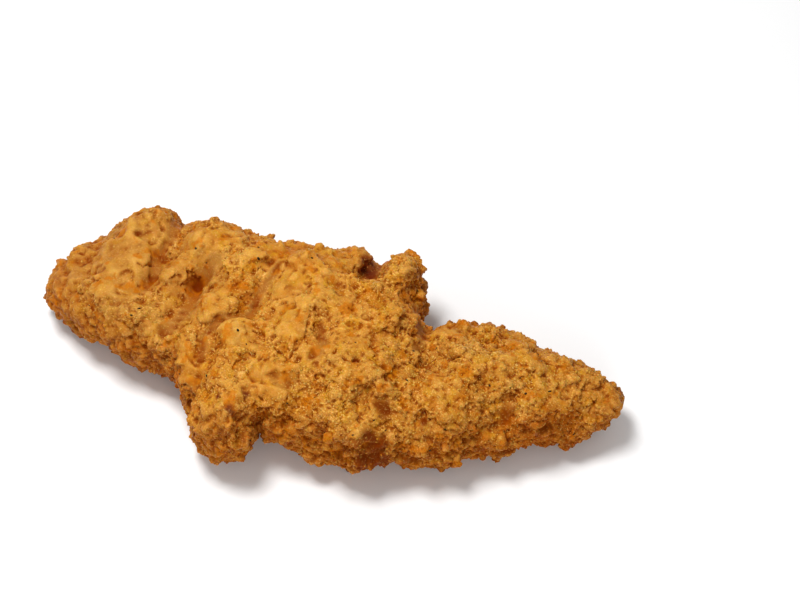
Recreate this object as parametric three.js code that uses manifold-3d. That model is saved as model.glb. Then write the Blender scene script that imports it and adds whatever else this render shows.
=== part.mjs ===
// One breaded, deep-fried chicken finger: a strip of breast meat in a craggy crust, lying flat.
// Millimetres, +Z up. X runs along the strip from its broad end (-X) to its tapered end (+X), and -Y is its
// front edge. The origin is under the middle of the strip, on the surface that it rests on.
//
// The body is the surface where a field of heights is 0. The field is made from the outline seen from above
// and the side view, with the crust's lobes, valleys, pits, lumps and crumbs added to it. The two nicks in
// the front edge and the flat on which the strip rests are cut from the solid.

import * as THREE from "three";
import { ImprovedNoise } from "three/addons/math/ImprovedNoise.js";
import { mergeVertices } from "three/addons/utils/BufferGeometryUtils.js";
import Module from "manifold-3d";

// ---- Driving dimensions, in millimetres ----

// The outline seen from above, clockwise from the tip of the broad end.
const OUTLINE = [
  [-62.5, 3], [-59.5, 8.5], [-53.5, 15], [-46.5, 22], [-40, 24.5], [-34.5, 22.3], [-26, 23], [-16, 22],
  [-7, 22.8], [1, 22.6], [6, 21.4], [11.2, 23.2], [15.4, 20.6], [16.2, 15.5], [20, 11], [29, 12.4], [40, 12],
  [51, 10.6], [58.8, 6.5], [61.2, 2], [56.4, -4], [47, -8.4], [38, -13.4], [28, -17.6], [21, -19.6],
  [12, -23.4], [2, -21.6], [-6.5, -21], [-10.4, -27.2], [-16, -27.4], [-22.5, -22.4], [-25.5, -16.5], [-30, -12.2],
  [-41, -11.2], [-48, -8.2], [-55.5, -3.8], [-60.8, 0],
];

// The side view, as [x, underside, widest level, top], and how far in the edge rounds over.
const SIDE_VIEW = [
  [-63, 3.5, 7, 10.5, 4], [-55, 1.5, 7, 14, 6], [-44, 0, 7.5, 17.5, 9], [-28, -0.6, 8, 20, 10],
  [-5, -0.8, 8.5, 21, 10], [12, -0.8, 8.5, 21, 10], [22, -0.8, 8, 19, 10], [42, -0.6, 7.5, 17, 9],
  [55, 0.6, 7, 14.5, 7], [63, 3, 6.5, 11, 5],
];

const EDGE_POWER = 2.3; // 2 rounds the edge as a circle does, more is boxier

// Broad swellings of the top: centre, reach along and across, and rise.
const LOBES = [
  { name: "broad_end_shoulder", at: [-43, 14.7], reach: [7, 9], rise: 1.8 },
  { name: "back_clump", at: [-30, 16.7], reach: [5, 7], rise: 1.9 },
  { name: "back_arch", at: [-21, 12.5], reach: [4, 5], rise: 1.1 },
  { name: "front_left_field", at: [-43, -3], reach: [8, 5], rise: 1.2 },
  { name: "small_plate", at: [-15.8, -6.2], reach: [3.8, 5], rise: 1.6 },
  { name: "cracked_plate", at: [-5.4, -1.6], reach: [5.5, 7], rise: 1.4 },
  { name: "back_hump", at: [-4, 14.5], reach: [6, 7.5], rise: 1.8 },
  { name: "back_knob", at: [4, 21], reach: [2.6, 4], rise: 1.6 },
  { name: "back_cluster", at: [13.5, 17.5], reach: [4.2, 6], rise: 3.0 },
  { name: "front_lobe", at: [-16, -21.6], reach: [5.5, 5], rise: 1.4 },
  { name: "middle_ridge", at: [9, -6], reach: [11, 5], rise: 1.4 },
  { name: "tapered_end_hump", at: [37, 0], reach: [12, 7], rise: 1.4 },
];

// Grooves of the top, from one end to the other: half their width, and their depth.
const VALLEYS = [
  { name: "shoulder_valley", from: [-35.2, 24.5], to: [-37.4, 3], width: 2.2, depth: 2.8 },
  { name: "bare_valley", from: [-26.6, 8], to: [-30.2, -6.5], width: 3.0, depth: 2.6 },
  { name: "arch_valley", from: [-13, 11.5], to: [-15.6, -2.6], width: 2.0, depth: 2.2 },
  { name: "lobe_valley", from: [-20.2, -7], to: [-22, -20.6], width: 1.8, depth: 3.0 },
  { name: "plate_valley", from: [-12.2, 0.5], to: [-11.5, -8.5], width: 1.5, depth: 1.5 },
  { name: "knob_valley", from: [0.6, 16], to: [0.2, 26], width: 1.6, depth: 2.0 },
  { name: "cluster_valley", from: [7.2, 26], to: [6.4, 14], width: 1.9, depth: 3.0 },
  { name: "step_valley", from: [18.7, 12], to: [24, -4], width: 2.2, depth: 2.0 },
  { name: "front_step", from: [0, -14], to: [15, -16], width: 2.0, depth: 1.6 },
  { name: "tapered_end_valley", from: [44.2, 11], to: [49, -7], width: 1.8, depth: 1.2 },
];

// Round holes in the crust: centre, radius and depth.
const PITS = [
  { name: "red_pit", at: [-28.2, 5.5], radius: 2.2, depth: 1.8 },
  { name: "dark_pit", at: [5.3, 16.6], radius: 2.0, depth: 2.2 },
  { name: "middle_hole", at: [9, -7.5], radius: 1.6, depth: 2.2 },
  { name: "front_pit", at: [16, -14.6], radius: 2.6, depth: 1.8 },
  { name: "edge_pit", at: [39.7, -8.1], radius: 2.2, depth: 1.6 },
];

// Nicks that run right through the front edge: where they end, which way they open, and their width at the
// inner end and the outer end.
const NICKS = [
  { name: "lobe_nick", at: [-8.6, -17.6], heading: -88, widths: [1.2, 3.2] },
  { name: "edge_nick", at: [19.4, -15.8], heading: -88, widths: [0.8, 2.4] },
];
const NICK_LENGTH = 10;
const NICK_HEIGHT = 30;
const NICK_FOOT = -1; // the level below the table from which a nick is cut
const NICK_STEPS = 10; // levels at which a nick's walls change their course
const NICK_ROUND_STEPS = 4; // straight pieces in the rounded inner end of a nick
const NICK_SWAY = { spacing: 8, reach: 1.6 }; // how far a nick's walls wander from the upright

// The crust's lumps, over the whole strip: the size of one, how high it stands, and how wide its dome is.
const LUMPS = { spacing: 5.6, height: 1.5, dome: 0.55, middle: 0.5 };
const ROLL = { spacing: 13, height: 1.6, turn: new THREE.Euler(0.5, 0.7, 0.9) };
const RELIEF_FADES = [-1, 5]; // levels above the widest one between which the relief of the top sets in

// Crumbs that stand off the crust, and how likely they are on its top, edges, tapered end and valleys.
const CRUMB_COUNT = 110;
const CRUMB_RADIUS = [1.7, 3.0];
const CRUMB_SINKS = 0.3; // the share of its radius by which a crumb's middle lies inside the crust
const CRUMB_BLEND = 0.5; // how softly a crumb runs into the crust
const CRUMB_OVERLAP = 0.4; // the share of its radius by which a crumb may reach into an earlier one
const CRUMB_SEED = 49;
const CRUMB_SHARE = { top: 0.25, edge: 0.55, taperedEnd: 0.3, valley: 0.05 };
const TAPERED_END = [-20, 30]; // where along the strip the tapered end's crumbs set in
const RESTING_SIDE = { facing: -0.3, level: 4 }; // no crumbs on what faces down more than this, below this

const OUTLINE_STEPS = 240; // straight pieces that the outline is measured by
const CELL = 1.8; // the size of the cells in which the surface is found
const MARGIN = 4; // free space round the strip in which the surface is looked for
const TABLE_DEPTH = 40; // the height of the block that cuts the flat underside
const PINCH_FILL = 0.3; // the depth that a corner gets where two sheets of the surface would touch
const RELAXING = { rounds: 2, share: 0.5 }; // how the steps between cells are evened out
const WELD_DISTANCE = 1e-4; // corners nearer to each other than this are one

// The steps along each axis, and the reach, of the wave whose fractions are the repeatable draws.
const DRAW_STEPS = [127.1, 311.7, 74.7, 53.3];
const DRAW_REACH = 43758.5453;

// ---- The field ----

const noise = new ImprovedNoise();
const outline = new THREE.SplineCurve([...OUTLINE, OUTLINE[0]].map(([x, y]) => new THREE.Vector2(x, y)));
const outlinePoints = outline.getSpacedPoints(OUTLINE_STEPS);

/** The smooth value at x of one column of a table whose rows start with x. */
function readTable(table, x, column) {
  const next = THREE.MathUtils.clamp(table.findIndex((row) => row[0] > x), 1, table.length - 1);
  const end = x >= table.at(-1)[0] ? table.length - 1 : next;
  const [a, b] = [table[end - 1], table[end]];
  return THREE.MathUtils.lerp(a[column], b[column], THREE.MathUtils.smoothstep(x, a[0], b[0]));
}

function distanceToLine(x, y, from, to) {
  const [alongX, alongY] = [to[0] - from[0], to[1] - from[1]];
  const share = ((x - from[0]) * alongX + (y - from[1]) * alongY) / (alongX ** 2 + alongY ** 2);
  const t = THREE.MathUtils.clamp(share, 0, 1);
  return Math.hypot(x - from[0] - t * alongX, y - from[1] - t * alongY);
}

/** How far inside the outline a point lies; negative outside. */
function depthInOutline(x, y) {
  let nearest = Infinity;
  let inside = false;
  for (let i = 1; i < outlinePoints.length; i++) {
    const [a, b] = [outlinePoints[i - 1], outlinePoints[i]];
    nearest = Math.min(nearest, distanceToLine(x, y, [a.x, a.y], [b.x, b.y]));
    const crosses = a.y > y !== b.y > y && x < a.x + ((y - a.y) / (b.y - a.y)) * (b.x - a.x);
    if (crosses) inside = !inside;
  }
  return inside ? nearest : -nearest;
}

/** 1 at the middle, falling smoothly to 0 beyond a distance of about 2. */
function bell(distance) {
  return Math.exp(-distance * distance);
}

/** The lobes, valleys and pits of the top at one place. */
function topRelief(x, y) {
  let height = 0;
  for (const { at, reach, rise } of LOBES) {
    height += rise * bell(Math.hypot((x - at[0]) / reach[0], (y - at[1]) / reach[1]));
  }
  for (const { from, to, width, depth } of VALLEYS) {
    height -= depth * bell(distanceToLine(x, y, from, to) / width);
  }
  for (const { at, radius, depth } of PITS) {
    height -= depth * bell(Math.hypot(x - at[0], y - at[1]) / radius);
  }
  return height;
}

/** A repeatable draw between 0 and 1 for a whole-numbered cell. */
function cellDraw(...numbers) {
  const angle = numbers.reduce((sum, number, n) => sum + number * DRAW_STEPS[n], 0);
  const wave = Math.sin(angle) * DRAW_REACH;
  return wave - Math.floor(wave);
}

/** Rounded lumps of about one size, packed side by side: 1 on top of each, about 0 in the creases. */
function lumps(point) {
  const [x, y, z] = point.clone().divideScalar(LUMPS.spacing).toArray();
  const [i0, j0, k0] = [Math.floor(x), Math.floor(y), Math.floor(z)];
  let nearest = Infinity;
  for (let i = i0 - 1; i <= i0 + 1; i++) {
    for (let j = j0 - 1; j <= j0 + 1; j++) {
      for (let k = k0 - 1; k <= k0 + 1; k++) {
        const [dx, dy, dz] = [0, 1, 2].map((which) => cellDraw(i, j, k, which));
        nearest = Math.min(nearest, (x - i - dx) ** 2 + (y - j - dy) ** 2 + (z - k - dz) ** 2);
      }
    }
  }
  return 1 - nearest / LUMPS.dome;
}

/** How far inside the crust a point lies, without its crumbs; negative outside. */
function crustDepth(point, depth, relief) {
  const [keel, waist, crown, rounding] = [1, 2, 3, 4].map((column) => readTable(SIDE_VIEW, point.x, column));
  const above = point.z > waist;
  const halfHeight = above ? crown - waist : waist - keel;
  const aside = Math.max(1 - depth / rounding, 0);
  const aloft = Math.abs(point.z - waist) / halfHeight;
  const bare = 1 - (aside ** EDGE_POWER + aloft ** EDGE_POWER) ** (1 / EDGE_POWER);
  const onTop = THREE.MathUtils.smoothstep(point.z - waist, ...RELIEF_FADES);
  const [x, y, z] = point.clone().applyEuler(ROLL.turn).divideScalar(ROLL.spacing).toArray();
  const roll = noise.noise(x, y, z);
  const lump = LUMPS.height * (lumps(point) - LUMPS.middle);
  return bare * halfHeight + onTop * relief + ROLL.height * roll + lump;
}

// ---- From field to surface ----

/** The corners of a unit cell, and its edges as pairs of corners. */
const CORNERS = Array.from({ length: 8 }, (_, n) => new THREE.Vector3(n & 1, (n >> 1) & 1, n >> 2));
const EDGES = CORNERS.flatMap((a, m) =>
  CORNERS.map((b, n) => [m, n]).filter(([, n]) => n > m && a.distanceToSquared(CORNERS[n]) === 1),
);

/** Whether some of a cell's corners, given as eight answers of one kind, hang together along its edges. */
function isOneGroup(chosen) {
  const reached = chosen.map((yes, n) => yes && n === chosen.indexOf(true));
  for (let pass = 0; pass < CORNERS.length; pass++) {
    for (const [m, n] of EDGES) {
      if (chosen[m] && chosen[n]) reached[m] = reached[n] = reached[m] || reached[n];
    }
  }
  return reached.every((yes, n) => yes === chosen[n]);
}

/** Values on the corners of a grid of cells over a box. */
class Grid {
  constructor(box, cell, valueAt) {
    this.box = box;
    this.cell = cell;
    this.size = box.getSize(new THREE.Vector3()).divideScalar(cell).ceil().addScalar(1);
    this.values = [];
    this.eachCorner((corner) => this.values.push(valueAt(this.place(corner))));
  }

  eachCorner(visit) {
    const corner = new THREE.Vector3();
    for (corner.z = 0; corner.z < this.size.z; corner.z++) {
      for (corner.y = 0; corner.y < this.size.y; corner.y++) {
        for (corner.x = 0; corner.x < this.size.x; corner.x++) visit(corner);
      }
    }
  }

  place(corner) {
    return corner.clone().multiplyScalar(this.cell).add(this.box.min);
  }

  index(corner) {
    return (corner.z * this.size.y + corner.y) * this.size.x + corner.x;
  }

  value(corner) {
    return this.values[this.index(corner)] ?? -1;
  }

  /** The eight corners of the cell that starts at a corner. */
  cellCorners(corner) {
    return CORNERS.map((step) => corner.clone().add(step));
  }

  /** Fills corners until no cell is crossed by two sheets of the surface, which would touch along an edge. */
  fillPinches() {
    let filled;
    do {
      filled = 0;
      this.eachCorner((corner) => {
        const corners = this.cellCorners(corner).map((place) => this.index(place));
        const inside = corners.map((index) => this.values[index] > 0);
        if (isOneGroup(inside) && isOneGroup(inside.map((yes) => !yes))) return;
        const outside = corners.filter((index) => !(this.values[index] > 0));
        const nearest = outside.reduce((a, b) => (this.values[a] > this.values[b] ? a : b));
        this.values[nearest] = PINCH_FILL;
        filled++;
      });
    } while (filled > 0);
    return this;
  }
}

/** Where the field is 0 inside a cell: the mean of its crossings of the cell's edges, or null. */
function crossing(grid, corner) {
  const sum = new THREE.Vector3();
  let count = 0;
  const corners = grid.cellCorners(corner);
  const values = corners.map((place) => grid.value(place));
  for (const [m, n] of EDGES) {
    if (values[m] > 0 === values[n] > 0) continue;
    const share = values[m] / (values[m] - values[n]);
    sum.add(grid.place(corners[m].clone().lerp(corners[n], share)));
    count++;
  }
  return count > 0 ? sum.divideScalar(count) : null;
}

/** The closed surface where a grid's values cross 0, with one vertex in each cell that it runs through. */
function surfaceOf(grid) {
  const [positions, faces, vertexOf] = [[], [], new Map()];
  const axes = [new THREE.Vector3(1, 0, 0), new THREE.Vector3(0, 1, 0), new THREE.Vector3(0, 0, 1)];
  grid.eachCorner((corner) => {
    const place = crossing(grid, corner);
    if (!place) return;
    vertexOf.set(grid.index(corner), positions.length / 3);
    positions.push(...place.toArray());
  });
  grid.eachCorner((corner) => {
    axes.forEach((axis, a) => {
      const inside = grid.value(corner) > 0;
      if (inside === grid.value(corner.clone().add(axis)) > 0) return;
      const [u, v] = [axes[(a + 1) % 3], axes[(a + 2) % 3]];
      const round = [corner.clone().sub(u).sub(v), corner.clone().sub(v), corner, corner.clone().sub(u)];
      const quad = round.map((cell) => vertexOf.get(grid.index(cell)));
      if (!inside) quad.reverse();
      faces.push(quad[0], quad[1], quad[2], quad[0], quad[2], quad[3]);
    });
  });
  return new THREE.BufferGeometry()
    .setAttribute("position", new THREE.Float32BufferAttribute(positions, 3))
    .setIndex(faces);
}

/** Moves each vertex of a closed surface part of the way to the middle of its neighbours, round by round. */
function relax(surface) {
  const places = surface.getAttribute("position");
  const corners = surface.index.array;
  const at = (i) => new THREE.Vector3().fromBufferAttribute(places, i);
  for (let round = 0; round < RELAXING.rounds; round++) {
    const sums = Array.from({ length: places.count }, () => new THREE.Vector4(0, 0, 0, 0));
    corners.forEach((vertex, n) => {
      const next = corners[n % 3 === 2 ? n - 2 : n + 1];
      sums[vertex].add(new THREE.Vector4(...at(next).toArray(), 1));
    });
    sums.forEach((sum, i) => {
      const middle = new THREE.Vector3(sum.x, sum.y, sum.z).divideScalar(sum.w);
      places.setXYZ(i, ...at(i).lerp(middle, RELAXING.share).toArray());
    });
  }
  return surface;
}

// ---- The crust ----

/** The box round the whole strip. */
function fieldBox() {
  const box = new THREE.Box3();
  outlinePoints.forEach(({ x, y }) => box.expandByPoint(new THREE.Vector3(x, y, 0)));
  for (const [x, keel, , crown] of SIDE_VIEW) {
    box.expandByPoint(new THREE.Vector3(x, 0, keel));
    box.expandByPoint(new THREE.Vector3(x, 0, crown));
  }
  return box.expandByScalar(MARGIN);
}

/** The bare crust's values on the corners of the cells. The outline and top are read once for each column. */
function crustGrid() {
  const columns = new Map();
  return new Grid(fieldBox(), CELL, (point) => {
    const key = `${point.x},${point.y}`;
    if (!columns.has(key)) columns.set(key, [depthInOutline(point.x, point.y), topRelief(point.x, point.y)]);
    return crustDepth(point, ...columns.get(key));
  });
}

/** How likely crumbs are at a point: most along the edges and at the tapered end, few in the valleys. */
function crumbShare(point, outward) {
  const atEdge = 1 - Math.abs(outward.z);
  const towardsTaper = THREE.MathUtils.smoothstep(point.x, ...TAPERED_END);
  const inValley = VALLEYS.some(({ from, to, width }) => distanceToLine(point.x, point.y, from, to) < width);
  if (inValley && outward.z > 0) return CRUMB_SHARE.valley;
  return CRUMB_SHARE.top + CRUMB_SHARE.edge * atEdge + CRUMB_SHARE.taperedEnd * towardsTaper;
}

/** The crumbs, the largest first, as spheres spread over the bare crust by seeded draws. */
function layCrumbs(crust) {
  crust.computeVertexNormals();
  const [places, normals] = [crust.getAttribute("position"), crust.getAttribute("normal")];
  const { lerp, seededRandom } = THREE.MathUtils;
  seededRandom(CRUMB_SEED);
  const crumbs = [];
  while (crumbs.length < CRUMB_COUNT) {
    const i = Math.floor(seededRandom() * places.count);
    const [point, outward] = [places, normals].map((of) => new THREE.Vector3().fromBufferAttribute(of, i));
    const radius = lerp(CRUMB_RADIUS[1], CRUMB_RADIUS[0], crumbs.length / CRUMB_COUNT);
    const resting = outward.z <= RESTING_SIDE.facing && point.z <= RESTING_SIDE.level;
    const wanted = seededRandom() < crumbShare(point, outward) && !resting;
    const centre = point.addScaledVector(outward, -CRUMB_SINKS * radius);
    const reach = (1 - CRUMB_OVERLAP) * radius;
    const free = crumbs.every((other) => other.center.distanceTo(centre) > other.radius + reach);
    if (wanted && free) crumbs.push(new THREE.Sphere(centre, radius));
  }
  return crumbs;
}

/** The larger of two depths, with a soft change from one to the other. */
function softMax(a, b, blend) {
  const overlap = Math.max(blend - Math.abs(a - b), 0);
  return Math.max(a, b) + overlap ** 2 / (4 * blend);
}

/** The whole crust as a closed surface: the bare crust with its crumbs grown on. */
function makeCrust() {
  const grid = crustGrid();
  const crumbs = layCrumbs(surfaceOf(grid));
  grid.eachCorner((corner) => {
    const [point, index] = [grid.place(corner), grid.index(corner)];
    for (const crumb of crumbs) {
      const depth = -crumb.distanceToPoint(point);
      const isNear = depth > -2 * CELL;
      if (isNear) grid.values[index] = softMax(grid.values[index], depth, CRUMB_BLEND);
    }
  });
  return relax(surfaceOf(grid.fillPinches()));
}

/** A nick's cutter: a round-ended wedge that stands in the edge and sways a little on its way up. */
function makeNick({ at, heading, widths }) {
  const [inner, outer] = widths.map((width) => width / 2);
  const wedge = new THREE.Shape();
  wedge.absarc(0, 0, inner, Math.PI / 2, (3 * Math.PI) / 2, false);
  wedge.lineTo(NICK_LENGTH, -outer);
  wedge.lineTo(NICK_LENGTH, outer);
  wedge.closePath();
  const cutter = new THREE.ExtrudeGeometry(wedge, {
    depth: NICK_HEIGHT,
    steps: NICK_STEPS,
    curveSegments: NICK_ROUND_STEPS,
    bevelEnabled: false,
  });
  const vertices = cutter.getAttribute("position");
  for (let i = 0; i < vertices.count; i++) {
    const sway = NICK_SWAY.reach * noise.noise(at[0], at[1], vertices.getZ(i) / NICK_SWAY.spacing);
    vertices.setY(i, vertices.getY(i) + sway);
  }
  return cutter.rotateZ(THREE.MathUtils.degToRad(heading)).translate(at[0], at[1], NICK_FOOT);
}

// ---- Cutting ----

const wasm = await Module();
wasm.setup();

/** A closed three.js geometry as a solid that can be joined and cut. */
function toSolid(geometry) {
  const bare = geometry.clone();
  bare.deleteAttribute("normal");
  bare.deleteAttribute("uv");
  const merged = mergeVertices(bare, WELD_DISTANCE);
  return new wasm.Manifold(
    new wasm.Mesh({
      numProp: 3,
      vertProperties: new Float32Array(merged.getAttribute("position").array),
      triVerts: new Uint32Array(merged.index.array),
    }),
  );
}

/** A solid as a three.js geometry again. */
function toGeometry(solid) {
  const { vertProperties, triVerts } = solid.getMesh();
  return new THREE.BufferGeometry()
    .setAttribute("position", new THREE.BufferAttribute(vertProperties, 3))
    .setIndex(new THREE.BufferAttribute(triVerts, 1));
}

/** The block below the level on which the strip rests. */
function makeTable() {
  const { x, y } = fieldBox().getSize(new THREE.Vector3());
  return new THREE.BoxGeometry(2 * x, 2 * y, TABLE_DEPTH).translate(0, 0, -TABLE_DEPTH / 2);
}

/** The finger: the crust with its nicks and its flat cut, without loose scraps, and centred. */
function makeFinger() {
  const cutters = [...NICKS.map(makeNick), makeTable()];
  const cut = cutters.reduce((solid, cutter) => solid.subtract(toSolid(cutter)), toSolid(makeCrust()));
  const pieces = cut.decompose().sort((a, b) => b.volume() - a.volume());
  const geometry = toGeometry(pieces[0]);
  geometry.computeBoundingBox();
  const middle = geometry.boundingBox.getCenter(new THREE.Vector3());
  return geometry.translate(-middle.x, -middle.y, 0);
}

const finger = new THREE.Mesh(
  makeFinger(),
  new THREE.MeshStandardMaterial({ color: 0xb9772f, roughness: 0.75, metalness: 0 }),
);
finger.name = "chicken_finger";

const part = new THREE.Group();
part.add(finger);

export default part;
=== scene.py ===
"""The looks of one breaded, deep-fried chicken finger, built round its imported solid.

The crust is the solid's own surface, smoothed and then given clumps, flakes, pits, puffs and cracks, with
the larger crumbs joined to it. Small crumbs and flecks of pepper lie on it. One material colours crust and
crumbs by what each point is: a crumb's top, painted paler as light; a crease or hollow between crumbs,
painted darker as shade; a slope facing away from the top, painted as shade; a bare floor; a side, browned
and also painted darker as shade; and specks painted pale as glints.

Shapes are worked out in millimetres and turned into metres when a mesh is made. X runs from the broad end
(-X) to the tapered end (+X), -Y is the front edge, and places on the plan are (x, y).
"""

import math

import bmesh
import bpy
import numpy as np
from mathutils import Matrix, Vector


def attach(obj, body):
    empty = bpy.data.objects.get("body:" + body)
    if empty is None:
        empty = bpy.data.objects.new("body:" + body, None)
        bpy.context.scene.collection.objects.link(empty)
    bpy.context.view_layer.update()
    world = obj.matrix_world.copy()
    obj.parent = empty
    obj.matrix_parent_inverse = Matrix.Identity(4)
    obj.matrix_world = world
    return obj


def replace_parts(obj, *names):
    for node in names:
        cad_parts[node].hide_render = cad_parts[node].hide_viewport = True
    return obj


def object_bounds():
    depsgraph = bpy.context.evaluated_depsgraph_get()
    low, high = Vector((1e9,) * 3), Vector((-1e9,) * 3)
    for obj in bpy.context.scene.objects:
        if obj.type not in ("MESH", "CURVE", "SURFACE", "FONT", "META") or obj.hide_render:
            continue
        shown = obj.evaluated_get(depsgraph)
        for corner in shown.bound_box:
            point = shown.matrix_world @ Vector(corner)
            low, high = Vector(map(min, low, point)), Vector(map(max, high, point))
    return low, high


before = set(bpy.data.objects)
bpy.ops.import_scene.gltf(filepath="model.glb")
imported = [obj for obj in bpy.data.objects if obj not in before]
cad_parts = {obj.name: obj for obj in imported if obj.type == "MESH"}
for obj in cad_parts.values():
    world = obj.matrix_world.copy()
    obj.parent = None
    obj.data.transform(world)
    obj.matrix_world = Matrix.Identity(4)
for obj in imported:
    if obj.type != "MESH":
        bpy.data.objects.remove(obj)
CAD_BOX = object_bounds()

MM = 0.001
NODE = "chicken_finger"
SEED = 7
MIDDLE = 0.5  # of what runs from 0 to 1

# ---- The crust's sizes, in millimetres ----

BODY_CELL = 0.34  # how finely the crust is divided before its crumbs are joined to it
CRUST_CELL = 0.26  # how finely it is divided with its crumbs
CRUST_TRIANGLES = 190_000
FACET_SMOOTHING = 40  # rounds of smoothing that take away the solid's facets
SMOOTHING_STRENGTH = 0.5  # how far a round of smoothing draws each point towards the mean of its neighbours
CRUMB_ROOM = 0.45  # how far the crust is drawn in where crumbs are strewn on it

# Rounded nodules packed side by side where the crust is crumbly: how far apart and how high.
NODULES = {"spacing": 3.2, "height": 0.8, "seed": 3}
# Soft lumps all over.
LUMPS = (
    {"spacing": 4.0, "height": 0.55, "seed": 13},
    {"spacing": 1.9, "height": 0.3, "seed": 15},
)
LUMP_LAYERS = 2  # of noise, each twice as fine as the one before
# Flakes that end in low, ragged steps: how far apart they are and how high the steps.
FLAKES = (
    {"spacing": 8.0, "height": 0.7, "seed": 21},
    {"spacing": 5.0, "height": 0.5, "seed": 25},
)
FLAKE_LAYERS = 2
FLAKE_STEP = (-0.05, 0.05)  # the levels of noise between which a step rises
FLAKE_RAGS = ({"amount": 0.9, "spacing": 2.6, "seed": 3}, {"amount": 0.3, "spacing": 0.9, "seed": 6})
# The share of the lumps and of the flakes that is missing on the floors of grooves and pits.
BARE_LUMPS = 0.7
BARE_FLAKES = 0.8

# Grooves between the clumps, as lines on the plan, with half width and depth.
GROOVES = (
    {"line": ((-36.6, 20.0), (-36.0, 14.0), (-36.8, 9.7), (-36.1, 5.7)), "width": 1.5, "depth": 0.4},
    {"line": ((-36.1, 5.7), (-37.5, 2.0), (-41.5, 1.0)), "width": 1.2, "depth": 0.4},
    {
        "line": ((-24.4, 10.8), (-27.3, 6.5), (-26.9, 1.0), (-28.6, -3.6), (-31.0, -5.6)),
        "width": 2.0,
        "depth": 0.4,
    },
    {"line": ((-11.6, 13.0), (-13.5, 6.5), (-14.2, 0.5), (-19.0, -2.4)), "width": 1.2, "depth": 0.7},
    {"line": ((-19.0, -2.4), (-22.0, -6.0), (-21.0, -11.0)), "width": 1.2, "depth": 0.8},
    {"line": ((1.0, 0.0), (2.4, -4.0), (1.0, -7.0)), "width": 1.2, "depth": 0.6},
    {"line": ((17.5, 12.0), (20.5, 6.0), (20.0, 1.0)), "width": 1.1, "depth": 0.8},
)

# Plates of smoother crust: centre and reach on the plan.
PLATES = (
    {"centre": (-44.5, 9.0), "reach": (8.5, 7.0)},
    {"centre": (-29.5, 14.5), "reach": (4.0, 4.5)},
    {"centre": (-15.0, -4.6), "reach": (4.0, 4.6)},
    {"centre": (-4.4, -1.2), "reach": (3.6, 5.4)},
    {"centre": (-8.0, 9.0), "reach": (4.0, 5.0)},
    {"centre": (6.0, 22.0), "reach": (4.0, 3.0)},
    {"centre": (-6.0, -13.0), "reach": (4.5, 3.0)},
    {"centre": (25.5, 8.6), "reach": (4.6, 2.4)},
)

# Pits with smooth brown floors: centre on the plan, radius and depth.
PITS = (
    {"centre": (-27.4, 6.8), "radius": 1.1, "depth": 0.3},
    {"centre": (-42.1, 14.6), "radius": 0.9, "depth": 0.3},
    {"centre": (-52.0, 7.0), "radius": 0.8, "depth": 0.2},
    {"centre": (10.0, -6.2), "radius": 0.8, "depth": 0.7},
    {"centre": (16.8, -13.0), "radius": 1.9, "depth": 0.5},
    {"centre": (16.4, -18.8), "radius": 2.2, "depth": 0.4},
    {"centre": (40.7, -6.8), "radius": 1.8, "depth": 0.4},
    {"centre": (6.3, 17.9), "radius": 1.6, "depth": 0.8},
    {"centre": (25.2, -12.8), "radius": 1.3, "depth": 0.8},
)

# Nicks that run in from the front edge: their line on the plan, half width and depth. They are cut below the
# first of two levels, and above the second one their sides are drawn together instead.
NICKS = (
    {"line": ((-7.8, -16.4), (-7.6, -26.0)), "width": 1.2, "depth": 1.2},
    {"line": ((20.2, -15.4), (20.4, -26.0)), "width": 1.1, "depth": 1.6},
)
NICK_LEVELS = (3, 8)
NICK_CLOSING = 1.5
NICK_SIDES = (0.8, 1.8)  # how far from its line, in half widths, crumbs leave a nick open

# Cracks, as lines on the plan.
CRACKS = (
    ((-11.8, -6.4), (-9.6, -6.2), (-7.1, -6.9), (-5.3, -7.6), (-3.4, -8.6)),
    ((-12.0, -3.6), (-9.9, -3.9), (-9.2, -6.2)),
    ((-1.6, 1.4), (-1.1, -2.5), (-2.2, -6.0), (-3.4, -8.6)),
    ((-39.9, 7.0), (-38.6, 6.6), (-37.4, 8.4)),
    ((24.0, 3.0), (27.0, 0.6), (30.0, 1.0)),
)
CRACK_WIDTH = 0.2
CRACK_DEPTH = 0.55

# Puffs with creases between them: their size, how high they are, the share of it that smooth crust keeps, and
# the share more that they stand along the edges.
PUFFS = (
    {"spacing": 4.8, "height": 1.4, "smooth": 0.5, "edge": 0.3, "seed": 41},
    {"spacing": 2.4, "height": 1.0, "smooth": 0.28, "edge": 0.6, "seed": 43},
    {"spacing": 1.3, "height": 0.7, "smooth": 0.25, "edge": 0.6, "seed": 47},
    {"spacing": 0.75, "height": 0.45, "smooth": 0.2, "edge": 0.5, "seed": 49},
)
# How far puffs and nodules are moved off their places and over what distance, both as shares of their size.
NODULE_MOVES = ({"amount": 0.15, "spacing": 1.0, "seed": 11},)
PUFF_MOVES = ({"amount": 0.3, "spacing": 1.0, "seed": 11}, {"amount": 0.16, "spacing": 0.4, "seed": 15})
PUFF_DOMES = 0.6  # how much of a puff is a rounded dome
PUFF_SWELLS = 0.7  # and how much a swelling between sharp creases
PUFF_MIDDLES = {"domes": MIDDLE, "swells": 0.2}  # what each of the two is on average
PUFF_SWELL_SEED = 8
# How uneven puffs are in height, with the spacing as a share of their size.
PUFF_UNEVEN = {"lowest": 0.5, "spacing": 1.7, "levels": (-0.4, 0.4), "seed": 5}
PUFF_EDGE = (0.1, 0.8)  # how far up the crust faces where the edges' share ends
PUFF_LESS = {"pit": 0.5, "bare": 0.7, "plate": 0.35}  # how much lower puffs are on floors and plates
PUFF_SMOOTHING = {"points": 1, "normals": 4}  # rounds of smoothing before the puffs

# ---- Where the crust is crumbly, bare or coloured ----

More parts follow.
